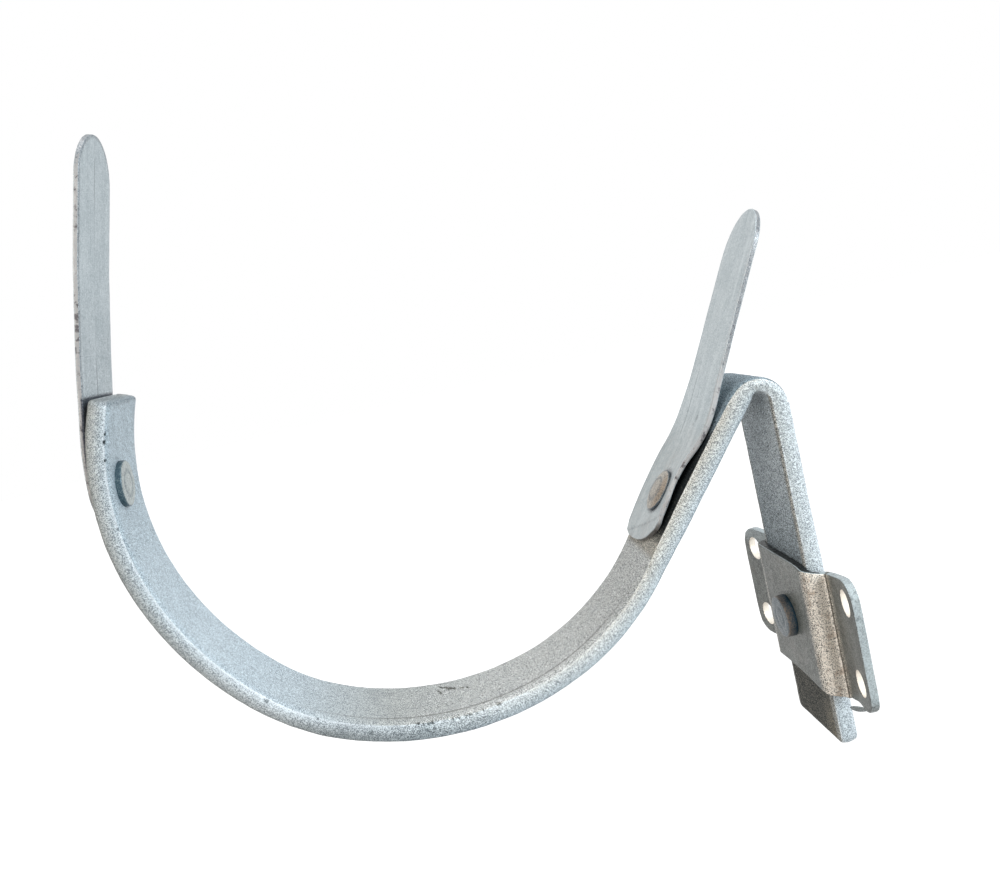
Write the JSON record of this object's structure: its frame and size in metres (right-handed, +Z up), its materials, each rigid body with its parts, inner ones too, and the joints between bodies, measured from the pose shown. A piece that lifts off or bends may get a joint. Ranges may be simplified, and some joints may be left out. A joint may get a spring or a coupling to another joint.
{
  "type": "gutter bracket",
  "caption": "Galvanised half-round gutter hook in bent flat bar, with bendable hold-down tongues and a riveted saddle plate that screws to a fascia.",
  "frame": {"origin": "middle of the four screw holes, halfway through the flanges that they go through, 3 mm in front of the fascia as delivered", "axes": "+X into the fascia, +Y along the gutter, +Z up with the leg upright"},
  "size_m": [0.1993, 0.0806, 0.2156],
  "materials": {
    "bar": "hot-dip galvanised, speckled grey with darker faces towards the fascia",
    "tongue": "smooth galvanised sheet with fine lines along its length",
    "plate": "dull weathered galvanised sheet with a brownish speckle",
    "rivet": "dull grey with dark rims"
  },
  "bodies": {
    "root": {"hook_bar": "bar", "front_strap": "tongue", "rear_strap": "tongue", "front_rivet": "rivet", "rear_rivet": "rivet", "fixing_plate": "plate", "plate_rivet": "rivet"}
  },
  "joints": []
}
